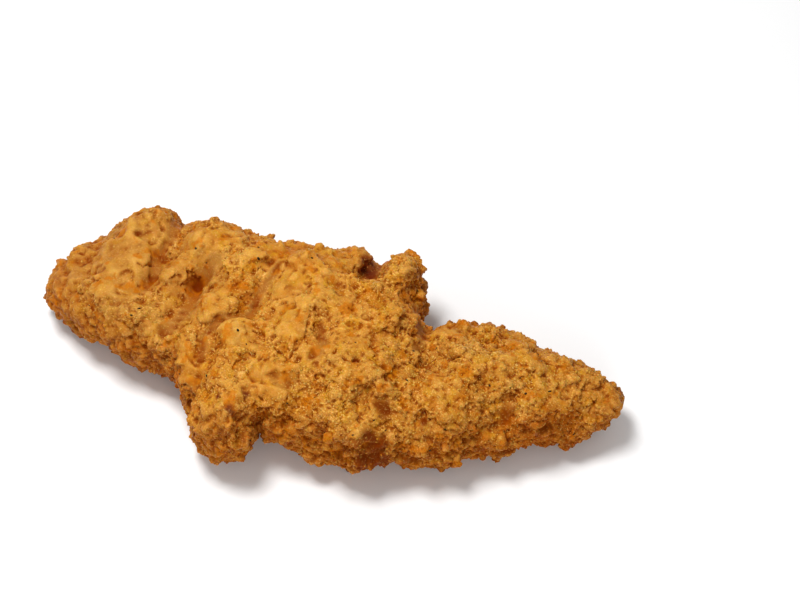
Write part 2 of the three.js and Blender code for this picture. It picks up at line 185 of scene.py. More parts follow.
# Ragged borders: how far they wander, over what distance, and where the share falls from 1 to 0. How far and
# where are measured in sizes of the thing that they go round.
GROOVE_BORDER = {"wander": 0.49, "spacing": 2.0, "seed": 31, "layers": 1, "falls": (0.5, 1.2)}
PLATE_BORDER = {"wander": 0.28, "spacing": 3.0, "seed": 37, "layers": 1, "falls": (0.7, 1.1)}
PIT_BORDER = {"wander": 0.7, "spacing": 1.6, "seed": 41, "layers": 2, "falls": (0.3, 1.2)}
SPOT_BORDER = {"wander": 0.5, "spacing": 1.4, "seed": 45, "layers": 2, "falls": (0.4, 1.2)}
# The same for how deep things are cut.
GROOVE_WALLS = {"wander": 0.7, "spacing": 1.6, "seed": 41, "layers": 2, "falls": (0.3, 1.3)}
PIT_WALLS = {"wander": 0.7, "spacing": 1.6, "seed": 41, "layers": 2, "falls": (0.4, 1.3)}
NICK_WALLS = {"wander": 0.35, "spacing": 1.6, "seed": 41, "layers": 2, "falls": (0.4, 1.4)}
CRACK_WANDER = {"wander": 0.35, "spacing": 1.8, "seed": 71, "layers": 2}

# How far up the crust faces, as its normal's height, where a share sets in and where it is whole.
TOP_FACING = (0.0, 0.45)
SPOT_FACING = (-0.2, 0.3)
DARK_FACING = (-1.0, -0.6)
ORANGE_FACING = (-0.9, -0.3)

# Smooth amber spots: centre and radius on the plan.
AMBER_SPOTS = (
    {"centre": (31.0, -2.2), "radius": 1.7},
    {"centre": (38.3, 7.1), "radius": 1.9},
    {"centre": (17.3, -6.2), "radius": 1.2},
    {"centre": (-27.4, 6.8), "radius": 2.2},
)
# Spots of crust that are fried dark.
DARK_SPOTS = (
    {"centre": (17.8, -20.2), "radius": 2.9},
    {"centre": (15.0, -21.6), "radius": 1.8},
)
# Orange-brown spots along the front edge.
ORANGE_SPOTS = (
    {"centre": (36.3, -11.6), "radius": 1.8},
    {"centre": (41.5, -7.9), "radius": 2.4},
    {"centre": (45.6, -8.0), "radius": 2.8},
    {"centre": (49.4, -6.2), "radius": 2.6},
    {"centre": (53.8, -3.2), "radius": 2.2},
)
# Dark stains.
STAINS = (
    {"centre": (5.9, 19.3), "radius": 2.2},
    {"centre": (-11.7, -21.3), "radius": 1.3},
    {"centre": (-9.7, -17.2), "radius": 0.9},
    {"centre": (-14.8, -19.0), "radius": 0.8},
)

# How crumbly the crust is all over, and how much more so in patches, along the edges and at the tapered end.
CRUMBLY = {"all": 0.1, "patches": 0.55, "edges": 0.6, "tapered_end": 0.4}
CRUMBLY_PATCHES = {"spacing": 7.0, "seed": 17, "levels": (-0.1, 0.2)}
CRUMBLY_EDGES = (0.35, 0.9)  # how far up or down the crust faces where its edges end
TAPERED_END = (-14, 16)  # where along the strip the tapered end's crumbs set in
BROAD_END = (-52, -30)  # where along the strip the broad end's smoother crust ends
# The share of its crumbs that the crust lacks at the broad end, on bare floors and on plates, and how bare
# pits and nicks are.
CRUMBLY_LESS = {"broad_end": 0.45, "bare": 0.95, "plate": 0.8}
BARE_SHARE = {"pit": 0.6, "nick": 0.8}

# The masks that the colours follow, several of them painted light and shade. Hollows are measured from the
# surface that some rounds of smoothing give.
HOLLOW_ROUNDS = {"fine": 2, "middling": 10, "broad": 50}
# Creases between crumbs are painted dark brown as shade.
CREASE_SHADE = (0.02, 0.12)
# Middling hollows are painted as shade, and bumps that stand as far above the mean surface are painted paler
# as light.
MIDDLING_HOLLOW = (0.0, 0.35)
BROAD_HOLLOW = (0.1, 0.9)
# Slopes that face away from the top are painted orange as shade.
STEEP_SHADE = {"rounds": 2, "facing": (0.1, 0.8)}
# Darker towards the floor, below these levels: browner crust and painted shade.
FOOT = (1.0, 7.0)
TINT = {"middle": 0.5, "reach": 0.45, "spacing": 2.6, "seed": 53}
TAN = {"share": 0.6, "along": (-42.0, -18.0)}  # a darker tan towards the broad end
# The sides, both browned and painted darker as shade: how far up the crust as a whole faces there, and the
# levels near the floor and the tips that darken too.
SIDES = {"rounds": 80, "facing": (0.1, 0.85), "share": 0.8}
SIDE_LEVELS = (2.0, 9.0)
SIDE_TIPS = {"broad_end": (-60.0, -44.0), "tapered_end": (50.0, 61.0), "share": 0.5}

# ---- Crumbs and pepper, in millimetres ----

# Large crumbs that are joined to the crust: how far apart, their radius, and how readily they lie on it. A
# crumb of one division has 20 faces, of two 80, of three 320.
LARGE_CRUMBS = {"spacing": 2.4, "radius": (0.7, 1.3), "readiness": 0.5, "divisions": 3}
# Small crumbs that lie on it.
SMALL_CRUMBS = {"spacing": 0.9, "radius": (0.2, 0.42), "readiness": 0.35, "divisions": 1}
CRUMB_SINKS = 0.45  # the share of a crumb's radius that its middle lies below the crust
CRUMB_RARITY = 1.6  # above 1 there are more small crumbs than large ones
CRUMB_RESTS = {"facing": -0.2, "level": 2.5}  # no crumbs on what faces down more than this, below this level
# A crumb's dents: how deep, how fine against its radius, and the share of each kind.
CRUMB_DENTS = ({"fineness": 1.5, "share": 1.0, "seed": 81}, {"fineness": 0.7, "share": 0.7, "seed": 83})
CRUMB_DENT_DEPTH = 0.4
CRUMBS_APART = 9.7  # how far apart crumbs lie in the noise that dents them
CRUMB_STRETCH = (0.7, 1.4)
CRUMB_FLATNESS = (1, 1, 0.8)
CRUMB_TOP = (0.3, 1.0)  # the part of a crumb's radius in which its top is painted paler as light

# Flecks of pepper: how many are strewn, their half length, and the places of the largest on the plan.
PEPPER_COUNT = 45
PEPPER_SIZE = (0.1, 0.3)
PEPPER_PLACES = (
    (-15.6, 12.5), (-14.9, -5.0), (-29.3, 12.7), (36.1, -2.8), (43.3, -3.0), (47.8, -0.4), (20.0, -6.7),
    (29.7, -13.5),
)
PEPPER_SHAPE = (1.3, 0.8, 0.45)
PEPPER_STRETCH = (0.7, 1.3)
PEPPER_FACING = 0.1

# ---- Colours and finish ----

GOLD = (0.52, 0.232, 0.034)
# Pale gold for paler patches, also painted on the tops of bumps as light.
PALE_GOLD = (0.65, 0.360, 0.085)
YELLOW_GOLD = (0.55, 0.262, 0.018)
# Orange, the crust's less golden tone, also painted on slopes that face away from the top as shade.
ORANGE = (0.43, 0.135, 0.004)
# Dark brown for burnt patches and dark grains, and as painted shade in creases.
BROWN = (0.19, 0.030, 0.0004)
# The sides' colour: browner crust, and painted shade where they face sideways or down and near the floor.
SIDE_BROWN_AND_SHADE = (0.38, 0.090, 0.002)
# Dark brown near the floor: browner crust and painted shade.
FOOT_BROWN_AND_SHADE = (0.22, 0.040, 0.001)
STAIN_BROWN = (0.14, 0.024, 0.012)
PIT_BROWN = (0.17, 0.028, 0.0005)
# Painted shade: the orange that hollows of the crust are coloured in place of the shade that falls in them.
HOLLOW_SHADE_ORANGE = (0.34, 0.085, 0.002)
GROOVE_TAN = (0.31, 0.140, 0.038)
OLIVE_TAN = (0.39, 0.200, 0.045)
AMBER = (0.50, 0.160, 0.003)
FRIED_ORANGE = (0.42, 0.112, 0.002)
# Painted highlights: pale specks on the grains in place of glints of oil.
PAINTED_GLINT_COLOUR = (0.80, 0.52, 0.16)

# Patches of noise in the material: how far apart in millimetres, how detailed, and the levels where they set
# in.
PATCHES = {
    "pale": {"spacing": 7.0, "detail": 3.0, "levels": (0.4, 0.6)},
    "yellow": {"spacing": 2.6, "detail": 2.0, "levels": (0.52, 0.62)},
    "olive": {"spacing": 5.0, "detail": 2.0, "levels": (0.57, 0.68)},
    # patches in which the sides' brown and painted shade are strongest
    "browned_and_shaded": {"spacing": 4.0, "detail": 2.0, "levels": (0.4, 0.6)},
    "amber": {"spacing": 3.2, "detail": 2.0, "levels": (0.57, 0.65)},
    "burnt": {"spacing": 2.4, "detail": 2.0, "levels": (0.52, 0.62)},
    "dark_grains": {"spacing": 0.3, "detail": 1.0, "levels": (0.5, 0.62)},
    # specks painted pale as glints
    "painted_glint_grains": {"spacing": 0.4, "detail": 1.0, "levels": (0.59, 0.67)},
    "glints": {"spacing": 0.9, "detail": 2.0, "levels": (0.54, 0.64)},
}
TINT_LEVELS = (0.15, 0.6)  # the tints between which orange turns into gold

# The colours laid over the gold, the first one lowest: where each lies, how much of it shows, and the colour.
COATS = (
    ("pale", 0.45, PALE_GOLD),
    ("yellow", 0.7, YELLOW_GOLD),
    ("olive", 0.5, OLIVE_TAN),
    ("groove", 0.6, GROOVE_TAN),
    # browned sides with painted shade
    ("browned_and_shaded", 0.9, SIDE_BROWN_AND_SHADE),
    # painted shade on slopes that face away from the top
    ("steep_shade", 0.55, ORANGE),
    # painted shade in the crust's hollows
    ("hollow_shade", 0.7, HOLLOW_SHADE_ORANGE),
    # painted light on the tops of bumps
    ("peak_light", 0.6, PALE_GOLD),
    ("amber", 0.75, AMBER),
    ("pit", 0.9, PIT_BROWN),
    ("orange", 0.6, FRIED_ORANGE),
    # darker towards the floor: browner crust and painted shade
    ("browned_shaded_foot", 0.6, FOOT_BROWN_AND_SHADE),
    # darker burnt patches on the browned and shaded sides
    ("burnt", 0.7, BROWN),
    # painted shade in the creases between crumbs
    ("crease_shade", 0.75, BROWN),
    ("stain", 0.8, STAIN_BROWN),
    ("dark_grains", 0.35, BROWN),
    # painted highlights: pale specks as glints of oil on grains
    ("painted_glint_grains", 0.65, PAINTED_GLINT_COLOUR),
)
LEAST_SIDE_BROWN_AND_SHADE = 0.45  # how much of a side's brown and painted shade shows where it is least
PALE_ON_SIDES = 0.45  # the share of painted light on tops, of painted glint specks and of glints of oil that the browned and shaded sides keep
PALE_ON_AMBER = 0.3  # the share of painted glint specks that amber spots keep
GRAIN_ON_SMOOTH = 0.3  # the share of grain that smooth crust keeps
GRAIN_ON_BARE = 0.2  # the share of it that bare floors keep
PIT_BARENESS = 0.5
GLINT_CREASE = (0.0, 0.5)  # how deep in a crease glints end

ROUGHNESS = (0.55, 0.3)  # away from glints and on them
SPECULAR = (0.12, 0.8)
SPECULAR_TINT = (1.0, 0.72, 0.32, 1)
SUBSURFACE_WEIGHT = 0.35
SUBSURFACE_RADIUS = (1.0, 0.3, 0.06)
SUBSURFACE_SCALE = 1.0
GRAIN = {"spacing": 0.5, "detail": 3.0, "roughness": 0.6, "cells": 0.6, "strength": 0.6, "depth": 0.15}

PEPPER_COLOURS = ((0.020, 0.012, 0.006), (0.075, 0.05, 0.025))
PEPPER_PATCHES = {"spacing": 0.5, "levels": (0.4, 0.6)}
PEPPER_ROUGHNESS = 0.6
PEPPER_SPECULAR = 0.1
FLOOR_COLOURS = ((0.86, 0.86, 0.86), (0.88, 0.88, 0.88))
FLOOR_PATCHES = 120.0
FLOOR_ROUGHNESS = 0.7

# ---- Floor, lights and view, in millimetres, watts and degrees ----

FLOOR_HALF = 3000.0
FLOOR_GAP = 0.02  # how far the floor lies below the crust
WORLD_STRENGTH = 0.36
LIGHTS = (
    {"name": "key", "place": (-120, 60, 440), "size": 140, "power": 1.5},
    {"name": "fill", "place": (120, -330, 200), "size": 200, "power": 0.35},
)
AIM = (13.5, 14.6, 13.9)
AZIMUTH = 14.0
ELEVATION = 58.0
CAMERA_DISTANCE = 387.9
CLIPPING = (10, 10_000)
LENS = 85.0
SENSOR = 36.0


# ---- Noise ----

HASH_STEPS = (73856093, 19349663, 83492791)
HASH_SEED_STEP = 2654435761
HASH_ROUNDS = ((13, 1274126177), (16, 668265263))
HASH_LAST_SHIFT = 15
HASH_RANGE = 0xFFFFFF
AXIS_SEEDS = 100  # between the seeds of a slope's three parts
REACH_SEED = 3  # added to the seed of the domes' reaches, after those of their centres' three parts
SWELL_SCALE = 2.2
LAYERS_SCALE = 1.4
DOME_REACH = (0.45, 1.0)


def between(low, high, share):
    return low + (high - low) * share


def eased(t):
    """A share from 0 to 1 that is level at both ends."""
    return t * t * (3 - 2 * t)


def eased_more(t):
    """A share from 0 to 1 that is level and straight at both ends."""
    return t**3 * (t * (t * 6 - 15) + 10)


def hash01(cells, seed):
    """Repeatable numbers between 0 and 1 for whole-numbered cells, an (..., 3) array."""
    mixed = cells.astype(np.int64) @ np.array(HASH_STEPS) + seed * HASH_SEED_STEP
    for shift, factor in HASH_ROUNDS:
        mixed = (mixed ^ (mixed >> shift)) * factor
    return ((mixed ^ (mixed >> HASH_LAST_SHIFT)) & HASH_RANGE) / float(HASH_RANGE)


def smooth_noise(points, spacing, seed):
    """Smooth noise from -1 to 1, with lumps about `spacing` apart."""
    scaled = points / spacing
    cell = np.floor(scaled).astype(np.int64)
    t = eased(scaled - cell)
    total = np.zeros(points.shape[:-1])
    for corner in np.ndindex(2, 2, 2):
        weight = np.prod(np.where(corner, t, 1 - t), axis=-1)
        total += weight * hash01(cell + np.array(corner), seed)
    return 2 * total - 1


def swell_noise(points, spacing, seed):
    """Noise from about -1 to 1 that swells and sinks evenly, with no steps along the axes."""
    scaled = points / spacing
    cell = np.floor(scaled).astype(np.int64)
    offset = scaled - cell
    fade = eased_more(offset)
    total = np.zeros(points.shape[:-1])
    for corner in np.ndindex(2, 2, 2):
        at = cell + np.array(corner)
        slope = np.stack([hash01(at, seed + AXIS_SEEDS * axis) - MIDDLE for axis in range(3)], axis=-1)
        weight = np.prod(np.where(corner, fade, 1 - fade), axis=-1)
        total += weight * (slope * (offset - np.array(corner))).sum(axis=-1)
    return SWELL_SCALE * total


def layered_noise(points, spacing, seed, layers=3):
    """Smooth noise with finer noise on it."""
    total = sum(smooth_noise(points, spacing / 2**n, seed + n) / 2**n for n in range(layers))
    return total / LAYERS_SCALE


def shifted(points, amount, spacing, seed):
    """Points moved about by smooth noise, so that what is drawn through them isn't regular."""
    moves = [smooth_noise(points, spacing, seed + axis) for axis in range(3)]
    return points + amount * np.stack(moves, axis=-1)


def moved_off(points, moves, size, seed):
    """Points moved about in steps that are given as shares of a size."""
    for move in moves:
        points = shifted(points, move["amount"] * size, move["spacing"] * size, seed + move["seed"])
    return points


def domes(points, spacing, seed):
    """The height, from 0 to 1, of rounded domes of many sizes that stand side by side."""
    scaled = points / spacing
    cell = np.floor(scaled).astype(np.int64)
    height = np.zeros(len(points))
    for step in np.ndindex(3, 3, 3):
        neighbour = cell + np.array(step) - 1
        centre = neighbour + np.stack([hash01(neighbour, seed + axis) for axis in range(3)], axis=1)
        reach = between(*DOME_REACH, hash01(neighbour, seed + REACH_SEED))
        away = ((scaled - centre) ** 2).sum(axis=1) / reach**2
        height = np.maximum(height, reach * np.sqrt(np.clip(1 - away, 0, 1)))
    return height


# ---- Shares and distances ----

def smooth_step(value, low, high):
    return eased(np.clip((value - low) / (high - low), 0, 1))


def distance_to_lines(points, line):
    """How far points on the plan lie from a line through several places."""
    nearest = np.full(len(points), np.inf)
    for start, end in zip(line, line[1:]):
        start, along = np.array(start), np.subtract(end, start)
        share = np.clip((points[:, :2] - start) @ along / (along @ along), 0, 1)
        away = np.linalg.norm(points[:, :2] - start - share[:, None] * along, axis=1)
        nearest = np.minimum(nearest, away)
    return nearest


def widths_away(points, thing):
    """How far points on the plan lie from a groove or nick, in its half widths."""
    return distance_to_lines(points, thing["line"]) / thing["width"]


def radii_away(points, spot):
    """How far points on the plan lie from a spot's centre, in its radii."""
    return np.linalg.norm(points[:, :2] - spot["centre"], axis=1) / spot["radius"]


def reaches_away(points, plate):
    """How far points on the plan lie from a plate's centre, in its reaches."""
    return np.linalg.norm((points[:, :2] - plate["centre"]) / np.array(plate["reach"]), axis=1)


def wander(points, border):
    return border["wander"] * layered_noise(points, border["spacing"], border["seed"], border["layers"])


def largest(shares, count):
    """The largest of several shares at each of a number of points."""
    return np.max([np.zeros(count), *shares], axis=0)


def inside(points, things, away_from, border):
    """1 well inside one of several things, 0 beyond their ragged borders."""
    astray = wander(points, border)
    shares = (1 - smooth_step(away_from(points, thing) + astray, *border["falls"]) for thing in things)
    return largest(shares, len(points))


# ---- Meshes as arrays ----

class Surface:
    """A mesh's points, in millimetres, its edges and its normals."""

    def __init__(self, mesh):
        count = len(mesh.vertices)
        self.points = read_floats(mesh.vertices, "co", count * 3).reshape(-1, 3) / MM
        self.normals = read_floats(mesh.vertices, "normal", count * 3).reshape(-1, 3)
        self.edges = np.zeros(len(mesh.edges) * 2, np.int32)
        mesh.edges.foreach_get("vertices", self.edges)
        self.edges = self.edges.reshape(-1, 2)

    def averaged(self, values, rounds):
        """Values at the points, each drawn towards the mean of its neighbours, `rounds` times."""
        ends = np.concatenate([self.edges[:, 0], self.edges[:, 1]])
        others = np.concatenate([self.edges[:, 1], self.edges[:, 0]])
        count = len(self.points)
        neighbours = np.maximum(np.bincount(ends, minlength=count), 1)[:, None]
        values = values.reshape(count, -1).copy()
        for _ in range(rounds):
            sums = [np.bincount(ends, column[others], minlength=count) for column in values.T]
            values += SMOOTHING_STRENGTH * (np.stack(sums, axis=1) / neighbours - values)
        return values


def read_floats(items, name, size):
    values = np.zeros(size, np.float32)
    items.foreach_get(name, values)
    return values.astype(float)


def write_points(mesh, points):
    mesh.vertices.foreach_set("co", (points * MM).astype(np.float32).ravel())
    mesh.update()


def write_masks(mesh, masks):
    for name, values in masks.items():
        mask = mesh.attributes.new(name, "FLOAT", "POINT")
        mask.data.foreach_set("value", np.clip(values, 0, 1).astype(np.float32))


def add_object(name, data):
    piece = bpy.data.objects.new(name, data)
    bpy.context.scene.collection.objects.link(piece)
    return piece


def mesh_from(name, points, faces):
    mesh = bpy.data.meshes.new(name)
    mesh.from_pydata((np.asarray(points) * MM).tolist(), [], np.asarray(faces).tolist())
    mesh.update()
    mesh.shade_smooth()
    return mesh


def with_modifier(mesh, kind, **settings):
    """A new mesh: `mesh` after one modifier."""
    holder = add_object("holder", mesh)
    modifier = holder.modifiers.new(kind, kind)
    for name, value in settings.items():
        setattr(modifier, name, value)
    graph = bpy.context.evaluated_depsgraph_get()
    result = bpy.data.meshes.new_from_object(holder.evaluated_get(graph))
    bpy.data.objects.remove(holder)
    return result


# ---- What each point of the crust is ----

def on_top(normals):
    """1 on what faces up, 0 on what faces sideways or down."""
    return smooth_step(normals[:, 2], *TOP_FACING)


def groove_share(points, normals):
    """1 on the floors of the grooves between the clumps."""
    return inside(points, GROOVES, widths_away, GROOVE_BORDER) * on_top(normals)


def plate_share(points, normals):
    """1 on the plates of smoother crust."""
    return inside(points, PLATES, reaches_away, PLATE_BORDER) * on_top(normals)


def pit_share(points, normals):
    """1 in the middle of a pit."""
    return inside(points, PITS, radii_away, PIT_BORDER) * smooth_step(normals[:, 2], *SPOT_FACING)


def spot_share(surface, spots, facing=SPOT_FACING):
    """1 in the middle of a spot of another colour, on what faces up enough."""
    share = inside(surface.points, spots, radii_away, SPOT_BORDER)
    return share * smooth_step(surface.normals[:, 2], *facing)


def nick_share(points):
    """1 in the nicks of the front edge, which crumbs leave open."""
    shares = (1 - smooth_step(widths_away(points, nick), *NICK_SIDES) for nick in NICKS)
    return largest(shares, len(points)) * (1 - smooth_step(points[:, 2], *NICK_LEVELS))


def crumbly_share(points, normals):
    """How crumbly the crust is: in patches, most along the edges and towards the tapered end."""
    patches = layered_noise(points, CRUMBLY_PATCHES["spacing"], CRUMBLY_PATCHES["seed"])
    share = np.full(len(points), CRUMBLY["all"])
    share += CRUMBLY["patches"] * smooth_step(patches, *CRUMBLY_PATCHES["levels"])
    share += CRUMBLY["edges"] * (1 - smooth_step(np.abs(normals[:, 2]), *CRUMBLY_EDGES))
    share += CRUMBLY["tapered_end"] * smooth_step(points[:, 0], *TAPERED_END)
    at_broad_end = 1 - smooth_step(points[:, 0], *BROAD_END)
    bare_pits = BARE_SHARE["pit"] * pit_share(points, normals)
    bare_nicks = BARE_SHARE["nick"] * nick_share(points)
    bare = largest([groove_share(points, normals), bare_pits, bare_nicks], len(points))
    share = np.clip(share, 0, 1) * (1 - CRUMBLY_LESS["broad_end"] * at_broad_end)
    share *= 1 - CRUMBLY_LESS["bare"] * bare
    return share * (1 - CRUMBLY_LESS["plate"] * plate_share(points, normals))


# ---- The crust's relief ----

def flake_steps(points):
    """How high the flakes stand, in low steps with ragged edges."""
    height = np.zeros(len(points))
    for flake in FLAKES:
        ragged = moved_off(points, FLAKE_RAGS, 1.0, flake["seed"])
        level = layered_noise(ragged, flake["spacing"], flake["seed"], FLAKE_LAYERS)
        height += flake["height"] * (smooth_step(level, *FLAKE_STEP) - MIDDLE)
    return height


def nodule_height(points):
    """How high the nodules stand, from below 0 between them."""
    spacing, seed = NODULES["spacing"], NODULES["seed"]
    moved = moved_off(points, NODULE_MOVES, spacing, seed)
    return NODULES["height"] * (domes(moved, spacing, seed) - MIDDLE)


def relief(points, normals):
    """How far each point of the crust is lifted."""
    bare = np.maximum(groove_share(points, normals), pit_share(points, normals))
    lift = (nodule_height(points) - CRUMB_ROOM) * crumbly_share(points, normals)
    for lump in LUMPS:
        lumpy = layered_noise(points, lump["spacing"], lump["seed"], LUMP_LAYERS)
        lift += lump["height"] * lumpy * (1 - BARE_LUMPS * bare)
    return lift + flake_steps(points) * (1 - BARE_FLAKES * bare)


def puff_shape(points, size, seed):
    """Puffs of one size, from below 0 in the creases between them."""
    moved = moved_off(points, PUFF_MOVES, size, seed)
    domed = domes(moved, size, seed) - PUFF_MIDDLES["domes"]
    swollen = np.abs(swell_noise(moved, size, seed + PUFF_SWELL_SEED)) - PUFF_MIDDLES["swells"]
    uneven = smooth_noise(points, PUFF_UNEVEN["spacing"] * size, seed + PUFF_UNEVEN["seed"])
    level = between(PUFF_UNEVEN["lowest"], 1, smooth_step(uneven, *PUFF_UNEVEN["levels"]))
    return (PUFF_DOMES * domed + PUFF_SWELLS * swollen) * level


def puff_height(points, normals):
    """How high the crust stands in its puffs, from below 0 in the creases between them."""
    crumbly = crumbly_share(points, normals)
    bare = np.maximum(groove_share(points, normals), PUFF_LESS["pit"] * pit_share(points, normals))
    edge = 1 - smooth_step(normals[:, 2], *PUFF_EDGE)
    kept = (1 - PUFF_LESS["bare"] * bare) * (1 - PUFF_LESS["plate"] * plate_share(points, normals))
    height = np.zeros(len(points))
    for puff in PUFFS:
        share = between(puff["smooth"], 1, crumbly) + puff["edge"] * edge
        height += puff["height"] * share * puff_shape(points, puff["spacing"], puff["seed"])
    return height * kept


def cut_by(points, things, away_from, walls):
    """How deep several things together cut into the crust at each point."""
    depths = (thing["depth"] * inside(points, [thing], away_from, walls) for thing in things)
    return sum(depths)


def cuts(points, normals):
    """How deep the grooves, pits and nicks go at each point."""
    depth = cut_by(points, GROOVES, widths_away, GROOVE_WALLS)
    depth += cut_by(points, PITS, radii_away, PIT_WALLS)
    nick_depth = cut_by(points, NICKS, widths_away, NICK_WALLS)
    opening = 1 - NICK_CLOSING * smooth_step(points[:, 2], *NICK_LEVELS)
    return depth * on_top(normals) + nick_depth * opening


def crack_depth(points, normals):
    """How deep the cracks go at each point."""
    astray = wander(points, CRACK_WANDER)
    widths = [(distance_to_lines(points, crack) + astray) / CRACK_WIDTH for crack in CRACKS]
    return CRACK_DEPTH * largest((np.exp(-away**2) for away in widths), len(points)) * on_top(normals)


# ---- The crust ----

def kept_in_box(points):
    """Points drawn back inside the solid's box."""
    low, high = (np.array(corner) / MM for corner in CAD_BOX)
    return np.clip(points, low, high)


def voxels(mesh, cell):
    """The mesh as one closed surface that is divided evenly."""
    return with_modifier(mesh, "REMESH", mode="VOXEL", voxel_size=cell * MM, use_smooth_shade=True)


def make_body():
    """The crust without its crumbs."""
    mesh = voxels(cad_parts[NODE].data.copy(), BODY_CELL)
    write_points(mesh, Surface(mesh).averaged(Surface(mesh).points, FACET_SMOOTHING))
    surface = Surface(mesh)
    lift = relief(surface.points, surface.normals) - cuts(surface.points, surface.normals)
    write_points(mesh, surface.points + surface.normals * lift[:, None])
    return mesh


def join_crumbs(body, draws):
    """The crust and its larger crumbs as one closed surface."""
    surface = Surface(body)
    points, faces, _ = lay_crumbs(LARGE_CRUMBS, surface, draws)
    all_points = np.concatenate([surface.points, points])
    all_faces = [list(face.vertices) for face in body.polygons] + (faces + len(surface.points)).tolist()
    joined = bpy.data.meshes.new("joined")
    joined.from_pydata((all_points * MM).tolist(), [], all_faces)
    return voxels(joined, CRUST_CELL)


def puff_up(mesh):
    """Gives the crust its puffs and cracks, along its broad normals."""
    surface = Surface(mesh)
    surface.points = surface.averaged(surface.points, PUFF_SMOOTHING["points"])
    height = puff_height(surface.points, surface.normals) - crack_depth(surface.points, surface.normals)
    broad = surface.averaged(surface.normals, PUFF_SMOOTHING["normals"])
    broad /= np.linalg.norm(broad, axis=1)[:, None]
    write_points(mesh, surface.points + broad * height[:, None])


def make_crust(draws):
    """The whole crust, its surface and its masks."""
    mesh = join_crumbs(make_body(), draws)
    puff_up(mesh)
    triangles = sum(len(face.vertices) - 2 for face in mesh.polygons)
    mesh = with_modifier(mesh, "DECIMATE", ratio=min(1.0, CRUST_TRIANGLES / triangles))
    mesh.name = "crust"
    write_points(mesh, kept_in_box(Surface(mesh).points))
    surface = Surface(mesh)
    masks = crust_masks(surface)
    write_masks(mesh, masks)
    return mesh, surface, masks


def hollow_of(surface, rounds):
    """How far each point lies below the mean surface round it, in millimetres; negative on a bump."""
    mean = surface.averaged(surface.points, rounds)
    return ((mean - surface.points) * surface.normals).sum(axis=1)


def side_share(surface):
    """1 where the crust as a whole faces sideways or down, and near the surface that it rests on: sides that
    are browned and also painted darker as shade.
    """
    broad = surface.averaged(surface.normals, SIDES["rounds"])
    along, _, level = surface.points.T
    facing = 1 - smooth_step(broad[:, 2], *SIDES["facing"])
    low = 1 - smooth_step(level, *SIDE_LEVELS)
    broad_tip = 1 - smooth_step(along, *SIDE_TIPS["broad_end"])
    tips = np.maximum(broad_tip, smooth_step(along, *SIDE_TIPS["tapered_end"]))
    return largest([SIDES["share"] * facing, low, SIDE_TIPS["share"] * tips], len(along))


def crust_masks(surface):
    """What each point of the crust is, as shares from 0 to 1."""
    points, normals = surface.points, surface.normals
    fine, middling, broad = (hollow_of(surface, rounds) for rounds in HOLLOW_ROUNDS.values())
    facing = surface.averaged(normals, STEEP_SHADE["rounds"])[:, 2]
    tan = TAN["share"] * (1 - smooth_step(points[:, 0], *TAN["along"]))
    return {
        "tint": TINT["middle"] + TINT["reach"] * layered_noise(points, TINT["spacing"], TINT["seed"]),
        # painted shade: fine creases below the mean surface
        "crease_shade": smooth_step(fine, *CREASE_SHADE),
        # painted shade: hollows below the mean surface
        "hollow_shade": np.maximum(smooth_step(middling, *MIDDLING_HOLLOW), smooth_step(broad, *BROAD_HOLLOW)),
        # painted light: bumps above the mean surface
        "peak_light": smooth_step(-middling, *MIDDLING_HOLLOW),
        "crumbly": crumbly_share(points, normals),
        "groove": np.maximum(groove_share(points, normals), tan),
        "pit": np.maximum(pit_share(points, normals), spot_share(surface, DARK_SPOTS, DARK_FACING)),
        # browned sides with painted shade
        "browned_shaded_side": side_share(surface),
        # painted shade: slopes that face away from the top
        "steep_shade": 1 - smooth_step(facing, *STEEP_SHADE["facing"]),
        # darker towards the floor: browner crust and painted shade
        "browned_shaded_foot": 1 - smooth_step(points[:, 2], *FOOT),
        "stain": spot_share(surface, STAINS),
        "amber": spot_share(surface, AMBER_SPOTS),
        "orange": spot_share(surface, ORANGE_SPOTS, ORANGE_FACING),
    }


# ---- Crumbs ----

ACROSS = 0.7  # a normal's part along an axis below which that axis serves to find one across the normal


def ball(divisions):
    """The points and faces of a ball of radius 1."""
    made = bmesh.new()
    bmesh.ops.create_icosphere(made, subdivisions=divisions, radius=1.0)
    points = np.array([vertex.co[:] for vertex in made.verts])
    faces = np.array([[vertex.index for vertex in face.verts] for face in made.faces])
    made.free()
    return points, faces


def spread(points, spacing, draws):
    """Which points to take, so that no two lie much nearer than `spacing`."""
    order = draws.permutation(len(points))
    cells = np.floor((points[order] + draws.uniform(0, spacing, 3)) / spacing).astype(np.int64)
    _, first = np.unique(cells, axis=0, return_index=True)
    return order[first]


def set_on(places, normals, shapes, draws):
    """Shapes about the origin, turned to stand on places with those normals: arrays with one row a shape."""
    is_across_x = np.abs(normals[:, :1]) < ACROSS
    helper = np.where(is_across_x, (1.0, 0.0, 0.0), (0.0, 1.0, 0.0))
    across = np.cross(normals, helper)
    across /= np.linalg.norm(across, axis=1)[:, None]
    along = np.cross(normals, across)
    spin = draws.uniform(0, 2 * math.pi, (len(places), 1))
    first = across * np.cos(spin) + along * np.sin(spin)
    axes = np.stack([first, np.cross(normals, first), normals], axis=1)
    return places[:, None] + shapes @ axes


def copied_faces(faces, count, each):
    """The faces of `count` copies of a shape that has `each` points."""
    return (faces + np.arange(count)[:, None, None] * each).reshape(-1, 3)


def crumb_shapes(ball_points, radius, draws):
    """Uneven crumbs about the origin, one row for each radius."""
    count = len(radius)
    apart = CRUMBS_APART * np.arange(count)[:, None, None]
    dents = sum(
        dent["share"] * smooth_noise(ball_points * dent["fineness"] + apart, 1.0, dent["seed"])
        for dent in CRUMB_DENTS
    )
    stretch = draws.uniform(*CRUMB_STRETCH, (count, 1, 3)) * CRUMB_FLATNESS
    return ball_points * (1 + CRUMB_DENT_DEPTH * dents[..., None]) * stretch * radius[:, None, None]


